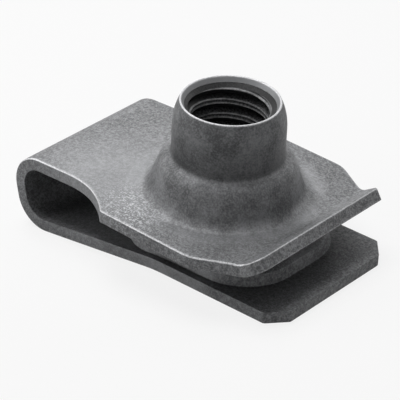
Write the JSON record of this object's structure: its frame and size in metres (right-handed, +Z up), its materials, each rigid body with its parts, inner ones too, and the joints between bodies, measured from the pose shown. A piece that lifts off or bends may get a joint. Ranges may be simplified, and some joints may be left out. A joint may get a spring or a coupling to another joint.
{
  "type": "extruded u-nut",
  "caption": "Extruded U-nut: a folded spring-steel clip with a tall threaded barrel, a flared lip and a raised boss on its lower leg.",
  "frame": {"origin": "on the screw axis, at the foot of the threaded bore in the barrel", "axes": "+Z up the screw axis towards the barrel's rim, +X towards the open end that the panel enters"},
  "size_m": [0.0308, 0.0206, 0.0165],
  "materials": {
    "phosphated_steel": "dark grey phosphate and oil, matt"
  },
  "bodies": {
    "root": {"u_nut": "phosphated_steel"}
  },
  "joints": []
}
